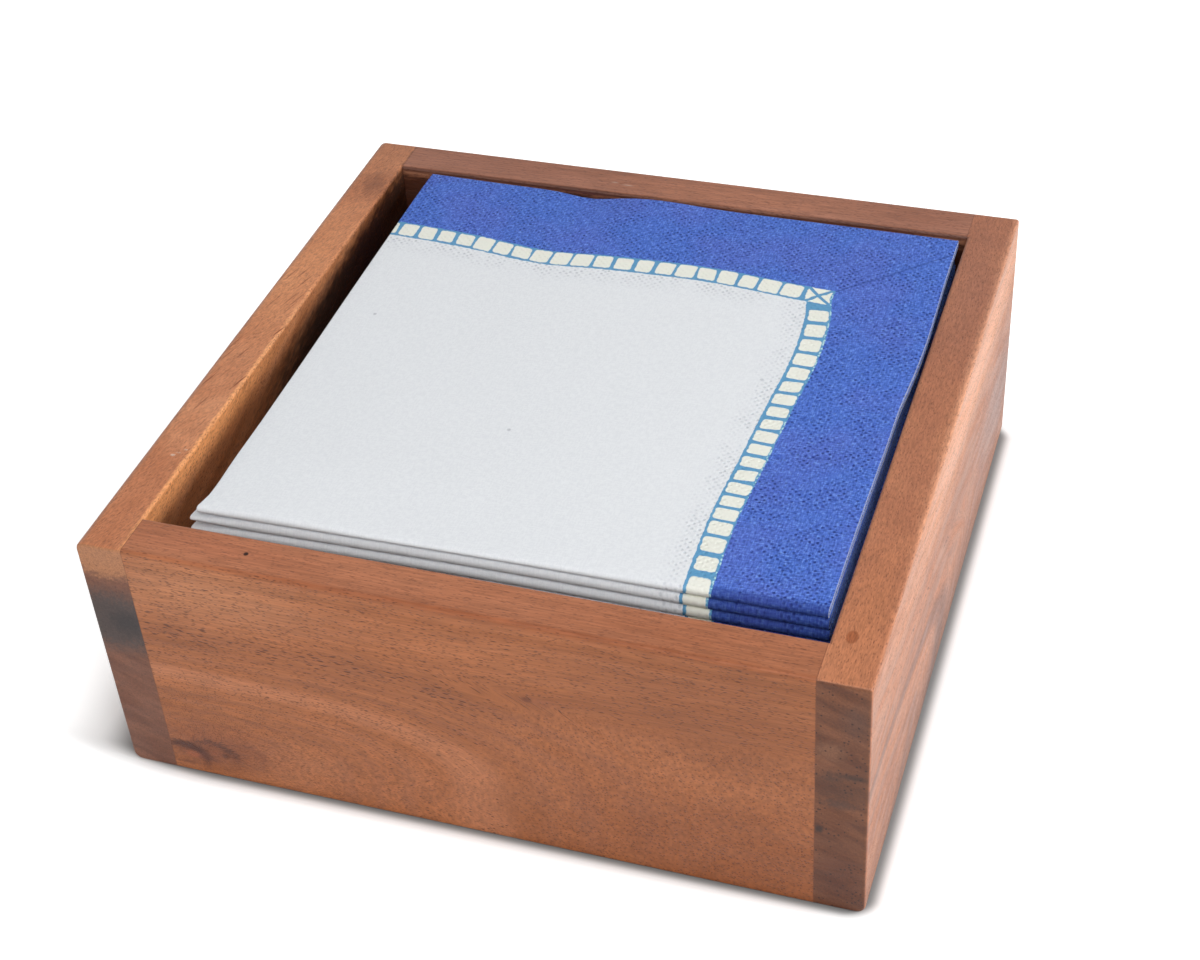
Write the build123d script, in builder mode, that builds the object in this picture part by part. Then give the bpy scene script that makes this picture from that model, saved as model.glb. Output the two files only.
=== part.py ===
"""Open-top wooden napkin box, glued up from four dowelled boards round a grooved bottom panel,
and the pack of quarter-folded paper napkins that it holds. Millimetres, +Z up, front towards -Y,
origin at the middle of the box where it stands."""

import os

from build123d import *

# Napkin: a square tissue sheet folded in half twice
napkin_side = 165.0
leaf_thickness = 0.25
first_fold_gap = 0.55
second_fold_gap = 0.9
napkin_gap = 0.35

# Room round the stack
finger_gap = 10.4
right_gap = 1.6
front_gap = 7.5
back_gap = 1.0

# Boards
board_thickness = 13.0
box_height = 78.5
long_round = 2.6
edge_round = 0.9
rim_round = 1.0

# Bottom panel and the groove that holds it
panel_thickness = 5.0
groove_lift = 7.0
groove_depth = 4.5
groove_slack = 0.2
panel_play = 0.5

# Dowels of the corner joints
dowel_diameter = 6.0
dowel_grip = 16.0
dowel_cover = 4.0
dowel_fit = 0.05
glue_room = 0.5
dowel_height_shares = {"lower": 0.2, "upper": 0.75}

# One overrun for every cut that leaves a face
overrun = 1.0

# Box sizes that follow from the napkins
cavity_width = finger_gap + napkin_side + right_gap
cavity_depth = front_gap + napkin_side + back_gap
box_width = cavity_width + 2 * board_thickness
box_depth = cavity_depth + 2 * board_thickness
side_board_x = (box_width - board_thickness) / 2
end_board_y = (box_depth - board_thickness) / 2

groove_height = panel_thickness + groove_slack
groove_width = cavity_width + 2 * groove_depth
groove_length = cavity_depth + 2 * groove_depth
panel_top = groove_lift + panel_thickness

dowel_radius = dowel_diameter / 2
dowel_hole_radius = dowel_radius + dowel_fit
side_grip = board_thickness - dowel_cover
dowel_length = side_grip + dowel_grip
dowel_heights = {
    level: panel_top + share * (box_height - panel_top)
    for level, share in dowel_height_shares.items()
}

# Two leaves lie in each turn of the second fold
pair_thickness = 2 * leaf_thickness + first_fold_gap
pair_spacing = pair_thickness + second_fold_gap
napkin_thickness = pair_spacing + pair_thickness
napkin_left = finger_gap - cavity_width / 2
napkin_front = front_gap - cavity_depth / 2
napkin_back = napkin_front + napkin_side

# The stack fills the box to its rim
napkin_pitch = napkin_thickness + napkin_gap
napkin_count = round((box_height - panel_top) / napkin_pitch)

on_table = (Align.CENTER, Align.CENTER, Align.MIN)
sides = {"left": -1, "right": 1}
ends = {"front": -1, "back": 1}

os.makedirs("parts", exist_ok=True)

# The glued-up frame before it is told apart into boards: its edges are eased all round in one go,
# so the rounding runs on across the joints. The edges from front to back are rounded over,
# apart from the one at the top right, which is as crisp as the outlines of the front and the back
with BuildPart() as frame:
    Box(box_width, box_depth, box_height, align=on_table)
    long_edges = frame.edges().filter_by(Axis.Y).sort_by(lambda edge: edge.center().X + edge.center().Z)
    fillet(long_edges[:-1], radius=long_round)
    crisp_edge = frame.edges().filter_by(Axis.Y).group_by(Axis.X)[-1].sort_by(Axis.Z)[-1]
    fillet([*frame.faces().filter_by(Axis.Y).edges(), crisp_edge], radius=edge_round)
    Box(cavity_width, cavity_depth, box_height, align=on_table, mode=Mode.SUBTRACT)
    rim = frame.faces().sort_by(Axis.Z)[-1]
    fillet(rim.inner_wires().edges(), radius=rim_round)

# Side boards run the full depth, so their end grain shows in front and behind
for side, across in sides.items():
    inner_face = Plane(
        origin=(across * cavity_width / 2, 0, 0), x_dir=(0, across, 0), z_dir=(across, 0, 0)
    )
    with BuildPart() as side_board:
        with Locations((across * side_board_x, 0, 0)):
            Box(board_thickness, box_depth, box_height, align=on_table)
        add(frame.part, mode=Mode.INTERSECT)
        # The groove stops short of both ends
        with Locations((0, 0, groove_lift)):
            Box(groove_width, groove_length, groove_height, align=on_table, mode=Mode.SUBTRACT)
        with BuildSketch(inner_face):
            with Locations(
                *[(end * end_board_y, height) for end in ends.values() for height in dowel_heights.values()]
            ):
                Circle(dowel_hole_radius)
        extrude(amount=side_grip + glue_room, mode=Mode.SUBTRACT)
    side_board.part.label = f"{side}_side_board"
    export_step(side_board.part, f"parts/{side}_side_board.step")

# Front and back boards butt between the side boards, with the groove cut right through their length
for end, along in ends.items():
    with BuildPart() as end_board:
        with Locations((0, along * end_board_y, 0)):
            Box(cavity_width, board_thickness, box_height, align=on_table)
        add(frame.part, mode=Mode.INTERSECT)
        with Locations((0, 0, groove_lift)):
            Box(
                cavity_width + 2 * overrun,
                groove_length,
                groove_height,
                align=on_table,
                mode=Mode.SUBTRACT,
            )
        for across in sides.values():
            end_grain = Plane(
                origin=(across * cavity_width / 2, along * end_board_y, 0),
                x_dir=(0, across, 0),
                z_dir=(across, 0, 0),
            )
            with BuildSketch(end_grain):
                with Locations(*[(0, height) for height in dowel_heights.values()]):
                    Circle(dowel_hole_radius)
            extrude(amount=-(dowel_grip + glue_room), mode=Mode.SUBTRACT)
    end_board.part.label = f"{end}_board"
    export_step(end_board.part, f"parts/{end}_board.step")

# The panel lies loose on the groove's lower lip, with play for the wood to move
with BuildPart() as bottom_panel:
    with Locations((0, 0, groove_lift)):
        Box(
            groove_width - 2 * panel_play,
            groove_length - 2 * panel_play,
            panel_thickness,
            align=on_table,
        )
bottom_panel.part.label = "bottom_panel"
export_step(bottom_panel.part, "parts/bottom_panel.step")

# Dowels, blind in the side boards
for end, along in ends.items():
    for side, across in sides.items():
        for level, height in dowel_heights.items():
            blind_end = Plane(
                origin=(across * (cavity_width / 2 + side_grip), along * end_board_y, height),
                x_dir=(0, 1, 0),
                z_dir=(-across, 0, 0),
            )
            with BuildPart(blind_end) as dowel:
                Cylinder(dowel_radius, dowel_length, align=on_table)
            dowel.part.label = f"{end}_{side}_{level}_dowel"
            export_step(dowel.part, f"parts/{end}_{side}_{level}_dowel.step")

# Napkins, numbered from the top. The first fold makes a hairpin of two leaves along the left edge,
# and the second turns that pair round the front edge, so the back and right edges stay open
for number in range(1, napkin_count + 1):
    underside = panel_top + napkin_gap + (napkin_count - number) * napkin_pitch
    lower_pair_z = underside + pair_thickness / 2
    upper_pair_z = lower_pair_z + pair_spacing
    turn_y = napkin_front + napkin_thickness / 2
    with BuildPart() as napkin:
        with BuildLine(Plane.YZ.offset(napkin_left)) as second_fold:
            upper_run = Line((napkin_back, upper_pair_z), (turn_y, upper_pair_z))
            front_turn = TangentArc(upper_run @ 1, (turn_y, lower_pair_z), tangent=upper_run % 1)
            Line(front_turn @ 1, (napkin_back, lower_pair_z))
        back_edge = Plane(
            origin=(napkin_left, napkin_back, upper_pair_z), x_dir=(1, 0, 0), z_dir=(0, -1, 0)
        )
        with BuildSketch(back_edge):
            Rectangle(napkin_side, pair_thickness, align=(Align.MIN, Align.CENTER))
            with Locations((leaf_thickness, 0)):
                Rectangle(
                    napkin_side,
                    first_fold_gap,
                    align=(Align.MIN, Align.CENTER),
                    mode=Mode.SUBTRACT,
                )
        sweep(path=second_fold.wires()[0])
    napkin.part.label = f"napkin_{number:02d}"
    export_step(napkin.part, f"parts/napkin_{number:02d}.step")
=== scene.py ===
import math
import random

import bmesh
import bpy
from mathutils import Matrix, Vector, noise


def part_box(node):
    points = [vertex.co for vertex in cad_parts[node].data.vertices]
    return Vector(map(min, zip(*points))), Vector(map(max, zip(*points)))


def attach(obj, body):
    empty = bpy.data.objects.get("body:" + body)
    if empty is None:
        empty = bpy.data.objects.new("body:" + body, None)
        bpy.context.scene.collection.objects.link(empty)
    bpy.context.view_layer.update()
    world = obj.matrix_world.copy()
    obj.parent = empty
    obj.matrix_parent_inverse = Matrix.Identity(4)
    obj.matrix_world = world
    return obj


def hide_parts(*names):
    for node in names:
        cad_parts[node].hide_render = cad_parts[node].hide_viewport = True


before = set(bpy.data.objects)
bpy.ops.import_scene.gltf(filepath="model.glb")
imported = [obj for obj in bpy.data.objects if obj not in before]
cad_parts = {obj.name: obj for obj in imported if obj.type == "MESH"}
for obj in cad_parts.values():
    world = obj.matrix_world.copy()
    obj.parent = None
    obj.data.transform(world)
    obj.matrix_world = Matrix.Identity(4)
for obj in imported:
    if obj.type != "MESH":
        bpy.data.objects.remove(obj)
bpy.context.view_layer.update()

mm = 0.001
print("frame loaded:", len(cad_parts), "CAD pieces")


def addObject(name, data):
    made = bpy.data.objects.new(name, data)
    bpy.context.scene.collection.objects.link(made)
    return made


def addMesh(name, bm):
    mesh = bpy.data.meshes.new(name)
    bm.to_mesh(mesh)
    bm.free()
    return addObject(name, mesh)


# Camera, at the photograph's viewing angle
cameraLook = {
    "turn": 20.66,       # degrees round the box, from straight in front
    "rise": 39.496,
    "roll": -4.184,
    "away": 619.4,       # mm
    "slideRight": 0.1,
    "slideUp": 30.0,
    "nearest": 10.0,
    "lens": 63.02,
    "sensor": 36.0,
}


def placeCamera(look):
    turn, rise, roll = (math.radians(look[name]) for name in ("turn", "rise", "roll"))
    back = Vector((math.sin(turn) * math.cos(rise), -math.cos(turn) * math.cos(rise), math.sin(rise)))
    right = Vector((math.cos(turn), math.sin(turn), 0))
    up = back.cross(right)
    cameraX = math.cos(roll) * right + math.sin(roll) * up
    cameraY = math.cos(roll) * up - math.sin(roll) * right
    stand = Matrix((cameraX, cameraY, back)).transposed().to_4x4()
    slide = cameraX * look["slideRight"] + cameraY * look["slideUp"]
    stand.translation = mm * (slide + back * look["away"])
    data = bpy.data.cameras.new("camera")
    data.lens = look["lens"]
    data.sensor_width = look["sensor"]
    data.clip_start = look["nearest"] * mm
    camera = addObject("camera", data)
    camera.matrix_world = stand
    bpy.context.scene.camera = camera


placeCamera(cameraLook)
bpy.context.scene.view_settings.view_transform = "Standard"
print("camera placed")


# Nodes of one finish, put down by short calls
class Finish:
    def __init__(self, owner):
        owner.use_nodes = True
        self.owner = owner
        self.tree = owner.node_tree
        self.tree.nodes.clear()

    def put(self, kind, **settings):
        node = self.tree.nodes.new(kind)
        for setting, value in settings.items():
            setattr(node, setting, value)
        return node

    def feed(self, socket, value):
        if isinstance(value, bpy.types.NodeSocket):
            self.tree.links.new(value, socket)
        else:
            socket.default_value = value

    def fill(self, node, *values):
        for socket, value in zip(node.inputs, values):
            self.feed(socket, value)
        return node.outputs[0]

    def calc(self, kind, *values):
        return self.fill(self.put("ShaderNodeMath", operation=kind), *values)

    def times(self, *values):
        return self.calc("MULTIPLY", *values)

    def plus(self, *values):
        return self.calc("ADD", *values)

    def minus(self, *values):
        return self.calc("SUBTRACT", *values)

    def most(self, *values):
        return self.calc("MAXIMUM", *values)

    def size(self, value):
        return self.calc("ABSOLUTE", value)

    def shift(self, kind, *vectors):
        return self.fill(self.put("ShaderNodeVectorMath", operation=kind), *vectors)

    def length(self, vector):
        node = self.put("ShaderNodeVectorMath", operation="LENGTH")
        self.feed(node.inputs[0], vector)
        return node.outputs["Value"]

    def step(self, value, low, high, start=0.0, end=1.0):
        node = self.put("ShaderNodeMapRange", interpolation_type="SMOOTHSTEP")
        return self.fill(node, value, low, high, start, end)

    def ease(self, share, start, end):      # from one value to the other
        return self.step(share, 0.0, 1.0, start, end)

    def split(self, vector):
        node = self.put("ShaderNodeSeparateXYZ")
        self.feed(node.inputs[0], vector)
        return node.outputs[:3]

    def join(self, *parts):
        return self.fill(self.put("ShaderNodeCombineXYZ"), *parts)

    def blend(self, share, first, second, kind="MIX"):
        node = self.put("ShaderNodeMix", data_type="RGBA", blend_type=kind)
        self.feed(node.inputs[0], share)
        self.feed(node.inputs[6], first)
        self.feed(node.inputs[7], second)
        return node.outputs[2]

    def dim(self, color, value):
        return self.blend(1.0, color, self.join(value, value, value), "MULTIPLY")

    def grain(self, place, size, detail=2.0, rough=0.5):     # noise, one patch about size mm
        node = self.put("ShaderNodeTexNoise")
        self.feed(node.inputs["Vector"], self.shift("DIVIDE", place, size))
        node.inputs["Scale"].default_value = 1.0
        node.inputs["Detail"].default_value = detail
        node.inputs["Roughness"].default_value = rough
        return node.outputs[0]

    def cells(self, place, size, spread=1.0, flat=False):    # one cell about size mm
        node = self.put("ShaderNodeTexVoronoi", voronoi_dimensions="2D" if flat else "3D")
        self.feed(node.inputs["Vector"], self.shift("DIVIDE", place, size))
        node.inputs["Scale"].default_value = 1.0
        node.inputs["Randomness"].default_value = spread
        return node.outputs["Distance"], node.outputs["Color"]

    def bump(self, height, depth):
        node = self.put("ShaderNodeBump")
        node.inputs["Strength"].default_value = 1.0
        node.inputs["Distance"].default_value = depth * mm
        self.feed(node.inputs["Height"], height)
        return node.outputs[0]

    def surface(self, color, roughness, normal, ior, soft=0.0):      # soft lets light in
        skin = self.put("ShaderNodeBsdfPrincipled")
        self.feed(skin.inputs["Base Color"], color)
        self.feed(skin.inputs["Roughness"], roughness)
        self.feed(skin.inputs["Normal"], normal)
        skin.inputs["IOR"].default_value = ior
        skin.inputs["Subsurface Weight"].default_value = soft
        skin.inputs["Subsurface Radius"].default_value = (1.0, 1.0, 1.0)
        skin.inputs["Subsurface Scale"].default_value = mm
        self.finish(skin.outputs[0])

    def finish(self, shader, kind="ShaderNodeOutputMaterial"):
        self.feed(self.put(kind).inputs["Surface"], shader)

    def shownRays(self, mirrored=1.0):      # what the camera sees, and a share of what gloss sees
        path = self.put("ShaderNodeLightPath")
        thrown = self.most(path.outputs["Is Glossy Ray"], path.outputs["Is Transmission Ray"])
        thrown = self.times(thrown, mirrored)
        return self.most(path.outputs["Is Camera Ray"], thrown)


def paint(red, green, blue):      # a screen colour as a light value
    def toLight(value):
        share = value / 255
        return share / 12.92 if share <= 0.04045 else ((share + 0.055) / 1.055) ** 2.4
    return toLight(red), toLight(green), toLight(blue), 1.0


# Studio: a pale floor, soft boxes and a plain room
studioLook = {
    "floorHalf": 4000.0,
    "floorColor": paint(236, 236, 236),
    "footprint": (101.5, 99.75),      # the box stands inside this, mm from the middle
    "corner": 5.0,                    # rounds the footprint's corners
    "shadowSides": (5.4, 1.35),       # how much further the floor stays dim on the left and right
    "dimReach": (0.5, 6.2),
    "paintedShadowReach": (0.0, 2.7),       # a painted contact shadow right under the box
    "paintedShadowTone": 0.33,
    "nearGlow": 0.6,
    "mirrored": 0.25,                 # share of the glow that the gloss shows
    "farGlow": 1.0,
    "farReach": (330.0, 900.0),
    "roomBack": 0.34,
    "roomFront": 0.22,                # the camera's side of the room is darker
    "roomTurn": (-0.9, 0.3),          # from front to back
    "backdropTop": (0.4, 0.2),        # how high the white backdrop stands, as the rise of a ray
    "boxes": [
        {"name": "topBox", "place": (450, -850, 1200), "size": 950, "power": 11.2},
        {"name": "keyBox", "place": (1400, 60, 850), "size": 650, "power": 15.4},
        {"name": "frontBox", "place": (-350, -1350, 620), "size": 800, "power": 3.0},
    ],
    "aim": (0, 0, 45),
}


def layFloor(look):
    bm = bmesh.new()
    bmesh.ops.create_grid(bm, x_segments=1, y_segments=1, size=look["floorHalf"] * mm)
    floor = addMesh("floor", bm)

    # The white glow fades close to the box, so that its shadow shows
    finish = Finish(bpy.data.materials.new("paleFloor"))
    place = finish.shift("DIVIDE", finish.put("ShaderNodeTexCoord").outputs["Object"], (mm, mm, mm))
    x, y = finish.split(place)[:2]
    toSides = finish.times(x, -1.0), x
    beyond = (finish.minus(way, look["footprint"][0]) for way in toSides)
    sideways = (finish.calc("DIVIDE", way, longer) for way, longer in zip(beyond, look["shadowSides"]))
    sideways = finish.most(*sideways)
    endways = finish.minus(finish.size(y), look["footprint"][1])
    ways = (finish.plus(way, look["corner"]) for way in (sideways, endways))
    reach = finish.length(finish.join(*(finish.most(way, 0.0) for way in ways)))
    reach = finish.minus(reach, look["corner"])
    glow = finish.step(reach, *look["dimReach"], 0.0, look["nearGlow"])
    far = finish.step(finish.length(place), *look["farReach"], 0.0, look["farGlow"])
    glow = finish.most(glow, far)
    matt = finish.put("ShaderNodeBsdfDiffuse")
    # The floor colour darkens right under the box: a painted contact shadow
    paintedShadow = finish.step(reach, *look["paintedShadowReach"], look["paintedShadowTone"], 1.0)
    finish.feed(matt.inputs["Color"], finish.dim(look["floorColor"], paintedShadow))
    shine = finish.put("ShaderNodeEmission")
    shown = finish.shownRays(look["mirrored"])
    finish.feed(shine.inputs["Strength"], finish.times(glow, shown))
    both = finish.put("ShaderNodeAddShader")
    finish.finish(finish.fill(both, matt.outputs[0], shine.outputs[0]))
    floor.data.materials.append(finish.owner)


def hangLights(look):
    for box in look["boxes"]:
        data = bpy.data.lights.new(box["name"], "AREA")
        data.shape = "SQUARE"
        data.size = box["size"] * mm
        data.energy = box["power"]
        lamp = addObject(box["name"], data)
        lamp.location = Vector(box["place"]) * mm
        towards = Vector(look["aim"]) - Vector(box["place"])
        lamp.rotation_euler = towards.to_track_quat("-Z", "Y").to_euler()


def lightRoom(look):
    room = bpy.data.worlds.new("room")
    bpy.context.scene.world = room
    finish = Finish(room)
    towards = finish.split(finish.put("ShaderNodeTexCoord").outputs["Generated"])
    level = finish.step(towards[1], *look["roomTurn"], look["roomFront"], look["roomBack"])
    low = finish.step(towards[2], *look["backdropTop"])
    backdrop = finish.most(low, finish.put("ShaderNodeLightPath").outputs["Is Camera Ray"])
    strength = finish.most(level, finish.times(finish.shownRays(), backdrop))
    sky = finish.put("ShaderNodeBackground")
    finish.feed(sky.inputs["Strength"], strength)
    sky.inputs["Color"].default_value = (1, 1, 1, 1)
    finish.finish(sky.outputs[0], "ShaderNodeOutputWorld")


layFloor(studioLook)
hangLights(studioLook)
lightRoom(studioLook)
print("studio lit")


# Wood: mid-brown boards with fine dark pores, oiled to a soft gloss
woodLook = {
    "haze": 0.02,                        # the white that the gloss lays over a tone
    "wander": 4.0,                       # how far the grain strays, mm
    "wanderSize": (95.0, 45.0, 45.0),
    "slant": 0.0,                        # how far the grain leans across the board
    "figureSize": (170.0, 6.0, 16.0),    # along, across and through the board
    "driftSize": (30.0, 5.0, 12.0),
    "driftShare": 0.3,
    "darkToMid": (0.34, 0.52),
    "midToLight": (0.48, 0.66),
    "fibreSize": (9.0, 0.45, 0.45),
    "fibreSpan": (0.25, 0.75),
    "fibreTint": 0.2,
    "fibreRise": 0.25,                   # against the depth of a pore
    "cloudSize": (34.0, 20.0, 20.0),
    "cloudSpan": (0.2, 0.8),
    "cloudDepth": (0.36, 0.62),
    "speckSize": (1.1, 1.1, 1.1),
    "boldPores": {"size": (3.8, 0.7, 0.7), "reach": 0.29, "depth": 0.75},
    "linePores": {"size": (3.2, 0.8, 0.8), "reach": 0.36, "depth": 0.8},
    "finePores": {"size": (1.7, 0.5, 0.5), "reach": 0.37, "depth": 0.6},
    "dotPores": {"size": (0.85, 0.85, 0.85), "reach": 0.42, "depth": 0.5},
    "endPores": {"size": (1.15, 30.0, 1.15), "reach": 0.32, "depth": 0.85},
    "poreCore": 0.45,                    # share of a pore's reach that is fully dark
    "fineShare": 0.9,                    # share of the fine pores that show
    "clusterSize": (80.0, 4.0, 9.0),
    "clusterSpan": (0.36, 0.62),
    "crowding": (0.2, 1.0),              # share of the bold pores that show, from bare to crowded
    "stippleBare": (0.5, 1.0),           # where the bold pores fade out among the dots
    "topTurn": (0.55, 0.9),              # how far up a face of an upper edge looks
    "topPores": 0.6,                     # pores show less on the upper edges
    "poreTone": (80, 46, 34),
    "ringCore": 0.2,
    "brokenSize": (16.0, 5.0, 12.0),     # of the gaps in a broken ring
    "brokenSpan": (0.35, 0.6),
    "raggedSize": (5.0, 1.3, 1.3),
    "biteEdge": (0.7, 1.0),
    "endTurn": (0.5, 0.85),              # how far along the grain a face of the end grain looks
    "endSlope": 0.4,
    "streakSize": (16.0, 40.0, 3.4),     # of the end grain
    "endCrowdSize": (7.0, 40.0, 7.0),
    "endCrowdSpan": (0.42, 0.6),
    "endCrowding": (0.1, 0.9),
    "endPoreTone": (54, 34, 28),
    "seamLine": {"insets": (0.3, 0.05), "tone": (62, 36, 26), "strength": 0.4},
    "poreDip": 0.09,
    "glossSpan": (0.3, 0.7),
    "gloss": (0.36, 0.5),
    "ior": 1.5,
}

grainAxes = {"x": (0, 2, 1), "y": (1, 2, 0), "flat": (0, 1, 2)}      # along, across, through


def bareTone(tone, look):      # the wood under its gloss
    return tuple(max(part - look["haze"], 0.0) for part in paint(*tone)[:3]) + (1.0,)


def poreShare(finish, place, look, chance):
    near, tag = finish.cells(place, look["size"])
    kept = finish.calc("LESS_THAN", finish.split(tag)[0], chance)
    mark = finish.step(near, look["reach"], woodLook["poreCore"] * look["reach"])
    return finish.times(finish.times(mark, kept), look["depth"])


# A patch of another tone, placed in mm: real stains, and also painted light and shade. A bite leaves a
# crescent of it
def blot(at, radius, tone, strength, core=0.0, ragged=0.5, bite=None):
    return {"at": at, "radius": radius, "tone": tone, "strength": strength,
            "core": core, "ragged": ragged, "bite": bite}


def blotShare(finish, place, rough, toneBlot):
    offset = finish.shift("SUBTRACT", place, toneBlot["at"])
    reach = finish.length(finish.shift("DIVIDE", offset, toneBlot["radius"]))
    ragged = finish.calc("MULTIPLY_ADD", rough, toneBlot["ragged"], reach)
    share = finish.step(ragged, 1.0, toneBlot["core"])
    if toneBlot["bite"]:
        offset = finish.shift("SUBTRACT", place, toneBlot["bite"])
        reach = finish.length(finish.shift("DIVIDE", offset, toneBlot["radius"]))
        left = finish.step(finish.plus(reach, rough), *woodLook["biteEdge"])
        share = finish.times(share, left)
    return finish.times(share, toneBlot["strength"])


def dashShare(finish, place, upward, dashes):      # slanting dashes on an upper edge
    x, y = finish.split(place)[:2]
    across = finish.calc("MULTIPLY_ADD", y, dashes["slant"], x)
    near, tag = finish.cells(finish.join(y, across, 0.0), dashes["size"], flat=True)
    mark = finish.step(near, dashes["reach"], dashes["core"] * dashes["reach"])
    deep = finish.ease(finish.split(tag)[0], dashes["faintest"], 1.0)
    back = finish.step(y, *dashes["backFade"])
    front = finish.step(y, *dashes["frontFade"])
    shown = finish.times(finish.times(back, front), upward)
    return finish.times(finish.times(mark, deep), shown)


def ringPlace(finish, along, across, rings):      # round the heart of the rings, and out from it
    aside = finish.calc("DIVIDE", finish.minus(along, rings["heart"][0]), rings["stretch"])
    above = finish.minus(across, rings["heart"][1])
    power = rings["power"]
    parts = (finish.calc("POWER", finish.size(way), power) for way in (aside, above))
    out = finish.calc("POWER", finish.plus(*parts), 1 / power)
    turn = finish.calc("ARCTAN2", aside, above)
    return finish.times(turn, rings["stretch"] * rings["reach"]), out


def woodTone(finish, depth, tones, look):
    dark, mid, light = (bareTone(tone, look) for tone in tones)
    color = finish.blend(finish.step(depth, *look["darkToMid"]), dark, mid)
    return finish.blend(finish.step(depth, *look["midToLight"]), color, light)


def woodFinish(name, board):
    look = {**woodLook, **board.get("own", {})}
    finish = Finish(bpy.data.materials.new(name))
    spot = finish.put("ShaderNodeTexCoord")
    place = finish.shift("DIVIDE", spot.outputs["Object"], (mm, mm, mm))
    axes = finish.split(place)
    faces = [finish.size(part) for part in finish.split(spot.outputs["Normal"])]
    upward = finish.step(faces[2], *look["topTurn"])
    along, across, through = (axes[axis] for axis in grainAxes[board["grain"]])
    lean = finish.times(along, look["slant"])
    run, level = along, finish.plus(across, lean)
    ringLevel = level
    if "rings" in board:
        rings = board["rings"]
        turned, ringLevel = ringPlace(finish, along, across, rings)
        inside = finish.step(ringLevel, rings["edge"] + rings["fade"], rings["edge"])
        straight = finish.minus(along, rings["heart"][0])
        run = finish.ease(inside, straight, turned)
        fallen = finish.calc("MULTIPLY_ADD", along, rings["fall"], level)
        fallen = finish.minus(fallen, rings["heart"][1])
        level = finish.ease(inside, fallen, ringLevel)
    strand = finish.join(run, level, finish.plus(through, lean))
    strand = finish.shift("ADD", strand, board["cut"])
    stray = finish.minus(finish.grain(strand, look["wanderSize"], detail=1.0), 0.5)
    sway = finish.times(stray, look["wander"])
    strand = finish.shift("ADD", strand, finish.join(0.0, sway, sway))

    # Tones drift from dark to light with the figure, and follow the growth rings
    figure = finish.grain(strand, look["figureSize"], detail=4.0, rough=0.55)
    drift = finish.grain(strand, look["driftSize"])
    figured = finish.times(figure, 1 - look["driftShare"])
    depth = finish.plus(figured, finish.times(drift, look["driftShare"]))
    fibre = finish.grain(strand, look["fibreSize"], rough=0.6)
    if "stipple" in board:      # here the grain comes out of the board, and shows as dots
        zone = finish.step(along, *board["stipple"]["along"])
        zone = finish.times(zone, finish.step(across, *board["stipple"]["across"]))
        cloud = finish.grain(place, look["cloudSize"], detail=3.0)
        cloud = finish.step(cloud, *look["cloudSpan"], *look["cloudDepth"])
        depth = finish.ease(zone, depth, cloud)
        fibre = finish.ease(zone, fibre, finish.grain(place, look["speckSize"]))
    color = woodTone(finish, depth, board["tones"], look)
    rough = finish.minus(finish.grain(strand, look["raggedSize"], detail=3.0), 0.5)
    patchy = finish.grain(strand, look["brokenSize"], detail=1.0)
    ringLevel = finish.plus(finish.plus(ringLevel, sway), rough)
    for ring in board.get("growth", []):
        off = finish.size(finish.minus(ringLevel, ring["at"]))
        share = finish.step(off, ring["reach"], look["ringCore"] * ring["reach"], 0.0, ring["strength"])
        broken = finish.step(patchy, *look["brokenSpan"], 1 - ring.get("broken", 0.0), 1.0)
        share = finish.times(share, broken)
        color = finish.blend(share, color, bareTone(ring["tone"], look))
    # Upward faces take other tones of the same wood: painted light and shade on the tops
    if "topPaintedLightTones" in board:
        color = finish.blend(upward, color, woodTone(finish, depth, board["topPaintedLightTones"], look))
    # Stains and marks, and patches of painted light and shade
    for toneBlot in board.get("stainsAndPaintedLight", []):
        share = blotShare(finish, place, rough, toneBlot)
        color = finish.blend(share, color, bareTone(toneBlot["tone"], look))
    if "dashes" in board:
        share = dashShare(finish, place, upward, board["dashes"])
        color = finish.blend(share, color, bareTone(board["dashes"]["tone"], look))

    # Pores
    cluster = finish.grain(strand, look["clusterSize"])
    cluster = finish.step(cluster, *look["clusterSpan"], *look["crowding"])
    bold = poreShare(finish, strand, look["boldPores"], cluster)
    fine = poreShare(finish, strand, look["finePores"], look["fineShare"])
    if "stipple" in board:
        dots = poreShare(finish, place, look["dotPores"], look["fineShare"])
        fine = finish.ease(zone, fine, dots)
        bold = finish.times(bold, finish.step(zone, *look["stippleBare"], 1.0, 0.0))
    if "poreLine" in board:
        poreLine = board["poreLine"]
        off = finish.size(finish.minus(ringLevel, poreLine["at"]))
        line = finish.step(off, poreLine["reach"], poreLine["core"] * poreLine["reach"])
        line = finish.times(line, finish.step(along, *poreLine["along"]))
        bold = finish.most(bold, poreShare(finish, strand, look["linePores"], line))
    pores = finish.most(bold, fine)
    pores = finish.times(pores, finish.step(faces[2], *look["topTurn"], 1.0, look["topPores"]))

    # End grain drinks more oil, and its pores are dots
    if "endTones" in board:
        atEnd = finish.step(faces[grainAxes[board["grain"]][0]], *look["endTurn"])
        rise = finish.times(axes[0], look["endSlope"])
        sloped = finish.shift("ADD", place, finish.join(0.0, 0.0, rise))
        streak = finish.grain(sloped, look["streakSize"], detail=3.0, rough=0.6)
        endColor = woodTone(finish, streak, board["endTones"], look)
        for toneBlot in board.get("endStains", []):
            share = blotShare(finish, place, rough, toneBlot)
            endColor = finish.blend(share, endColor, bareTone(toneBlot["tone"], look))
        crowd = finish.grain(place, look["endCrowdSize"])
        crowd = finish.step(crowd, *look["endCrowdSpan"], *look["endCrowding"])
        dots = poreShare(finish, place, look["endPores"], crowd)
        endColor = finish.blend(dots, endColor, bareTone(look["endPoreTone"], look))
        color = finish.blend(atEnd, color, endColor)
        pores = finish.times(pores, finish.minus(1.0, atEnd))
    tint = finish.step(fibre, *look["fibreSpan"], 1 - look["fibreTint"], 1 + look["fibreTint"])
    color = finish.dim(color, tint)
    color = finish.blend(pores, color, bareTone(look["poreTone"], look))

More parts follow.
